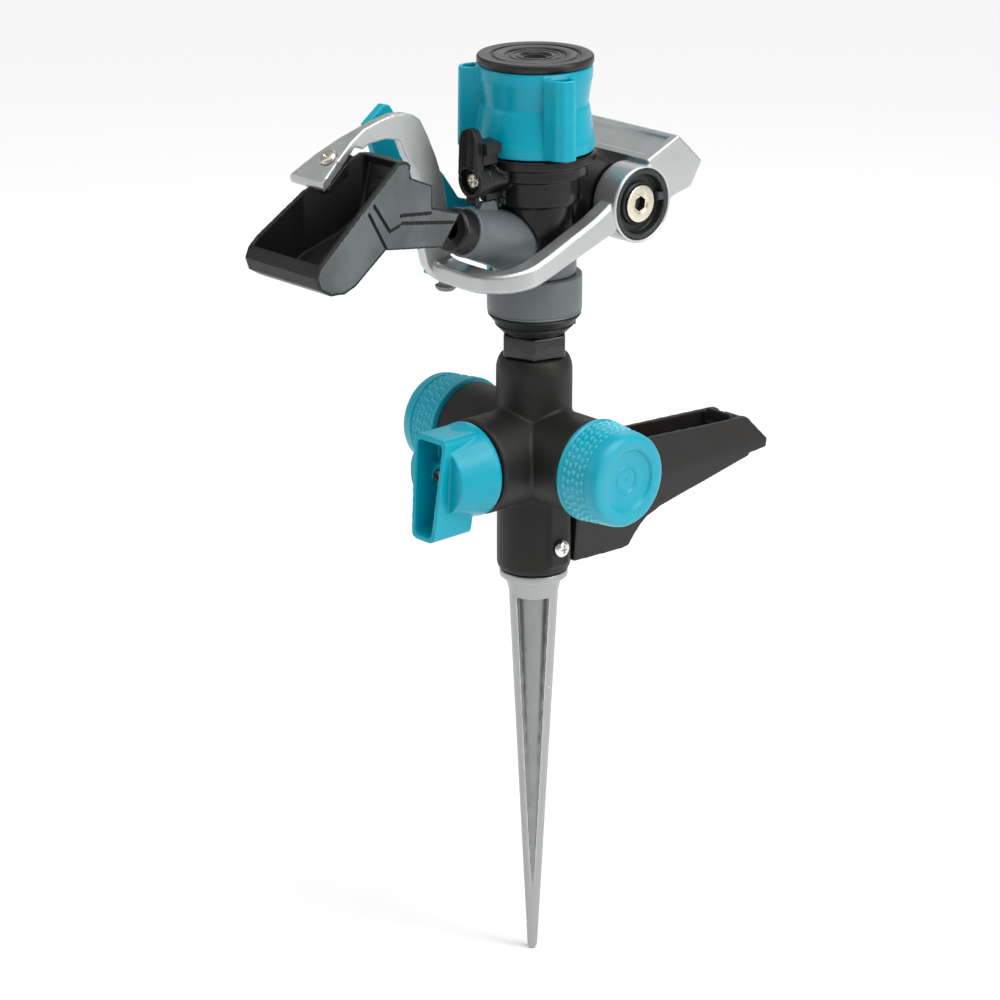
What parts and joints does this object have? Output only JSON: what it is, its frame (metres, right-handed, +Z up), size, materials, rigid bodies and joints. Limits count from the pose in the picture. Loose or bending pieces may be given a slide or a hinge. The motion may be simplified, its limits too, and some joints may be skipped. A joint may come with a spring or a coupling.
{
  "type": "impulse lawn sprinkler",
  "caption": "Impulse lawn sprinkler on a metal ground spike, with a swinging arm and spoon, range dial, stop valve, two hose ports with screw caps and a foot pedal.",
  "frame": {"origin": "on the spike's axis at ground level, in the plane of the spike flange's flat underside", "axes": "+Z up along the spike, -Y the way the jet leaves at rest, +Y the foot pedal, +X the port cap on the screw's side"},
  "size_m": [0.116, 0.2515, 0.3904],
  "materials": {
    "spike_casting": "satin cast",
    "base_plastic": "fine moulded texture",
    "pedal_plastic": "fine moulded texture",
    "teal_caps": "satin",
    "teal_handle": "semi-gloss",
    "teal_dial": "gloss",
    "teal_lever": "semi-gloss",
    "seal_rubber": "matte",
    "washer_nylon": "smooth",
    "valve_plastic": "satin",
    "sleeve_plastic": "semi-gloss",
    "ring_plastic": "satin",
    "grey_plastic": "satin",
    "housing_plastic": "satin",
    "nozzle_plastic": "semi-gloss",
    "disc_plastic": "satin",
    "deflector_plastic": "satin",
    "spoon_plastic": "satin",
    "bumper_rubber": "matte",
    "arm_casting": "satin cast",
    "cover_plastic": "satin",
    "screw_steel": "bright"
  },
  "bodies": {
    "base": {"ground_spike": "spike_casting", "base_body": "base_plastic", "foot_pedal": "pedal_plastic", "spike_screw": "screw_steel", "sleeve_gasket": "seal_rubber", "bearing_sleeve": "sleeve_plastic", "valve_retainer": "valve_plastic"},
    "valve": {"valve_plug": "valve_plastic", "plug_o_ring": "seal_rubber", "valve_handle": "teal_handle", "valve_screw": "screw_steel"},
    "right_washer": {"cap_washer_right": "seal_rubber"},
    "right_cap": {"port_cap_right": "teal_caps"},
    "left_washer": {"cap_washer_left": "seal_rubber"},
    "left_cap": {"port_cap_left": "teal_caps"},
    "lower_ring": {"stop_ring_lower": "ring_plastic"},
    "upper_ring": {"stop_ring_upper": "ring_plastic"},
    "head": {"collar_nut": "grey_plastic", "thrust_washer": "washer_nylon", "bearing_seal": "seal_rubber", "water_elbow": "grey_plastic", "head_housing": "housing_plastic", "housing_screw_right": "screw_steel", "housing_screw_left": "screw_steel", "nozzle": "nozzle_plastic", "nozzle_seal": "seal_rubber", "dial_screw": "screw_steel", "deflector_screw": "screw_steel", "pivot_bolt": "screw_steel", "trip_pin": "screw_steel"},
    "dial": {"range_dial": "teal_dial", "dial_disc": "disc_plastic"},
    "deflector": {"deflector_lever": "deflector_plastic"},
    "arm": {"swing_arm": "arm_casting", "pivot_cover": "cover_plastic", "return_spring": "screw_steel", "arm_bumper": "bumper_rubber", "spoon": "spoon_plastic", "spoon_screw": "screw_steel"},
    "trip": {"trip_lever": "teal_lever"}
  },
  "joints": [
    {"name": "head_turn", "type": "hinge", "parent": "base", "child": "head", "pos_m": [0, 0, 0.12], "axis": [0, 0, 1], "continuous": true},
    {"name": "arm_swing", "type": "hinge", "parent": "head", "child": "arm", "pos_m": [0, 0.0322, 0.1574], "axis": [1, 0, 0], "range_deg": [0, 15], "stiffness_Nm_per_rad": 0.25, "springref_deg": -45.84},
    {"name": "dial_turn", "type": "hinge", "parent": "head", "child": "dial", "pos_m": [0, 0, 0.2], "axis": [0, 0, 1], "range_deg": [-30, 25]},
    {"name": "deflector_tilt", "type": "hinge", "parent": "head", "child": "deflector", "pos_m": [0, -0.032, 0.173], "axis": [0, 1, 0], "range_deg": [-12, 10]},
    {"name": "trip_tilt", "type": "hinge", "parent": "head", "child": "trip", "pos_m": [0, -0.006, 0.148], "axis": [1, 0, 0], "range_deg": [-9, 9]},
    {"name": "lower_ring_turn", "type": "hinge", "parent": "base", "child": "lower_ring", "pos_m": [0, 0, 0.107], "axis": [0, 0, 1], "range_deg": [-235, 10]},
    {"name": "upper_ring_turn", "type": "hinge", "parent": "base", "child": "upper_ring", "pos_m": [0, 0, 0.111], "axis": [0, 0, 1], "range_deg": [-10, 15]},
    {"name": "valve_turn", "type": "hinge", "parent": "base", "child": "valve", "pos_m": [0, -0.04, 0.0544], "axis": [0, 1, 0], "range_deg": [0, 90]},
    {"name": "right_cap_travel", "type": "slide", "parent": "base", "child": "right_washer", "axis": [1, 0, 0], "range_m": [0, 0.0163]},
    {"name": "right_cap_unscrew", "type": "hinge", "parent": "right_washer", "child": "right_cap", "pos_m": [0.04, 0, 0.0544], "axis": [1, 0, 0], "range_deg": [0, 3168]},
    {"name": "left_cap_travel", "type": "slide", "parent": "base", "child": "left_washer", "axis": [-1, 0, 0], "range_m": [0, 0.0163]},
    {"name": "left_cap_unscrew", "type": "hinge", "parent": "left_washer", "child": "left_cap", "pos_m": [-0.04, 0, 0.0544], "axis": [-1, 0, 0], "range_deg": [0, 3168]}
  ],
  "couplings": [
    {"joint": "deflector_tilt", "follows": "dial_turn", "ratio": 0.4},
    {"joint": "right_cap_travel", "follows": "right_cap_unscrew", "m_per_rad": 0.00028871},
    {"joint": "left_cap_travel", "follows": "left_cap_unscrew", "m_per_rad": 0.00028871}
  ]
}
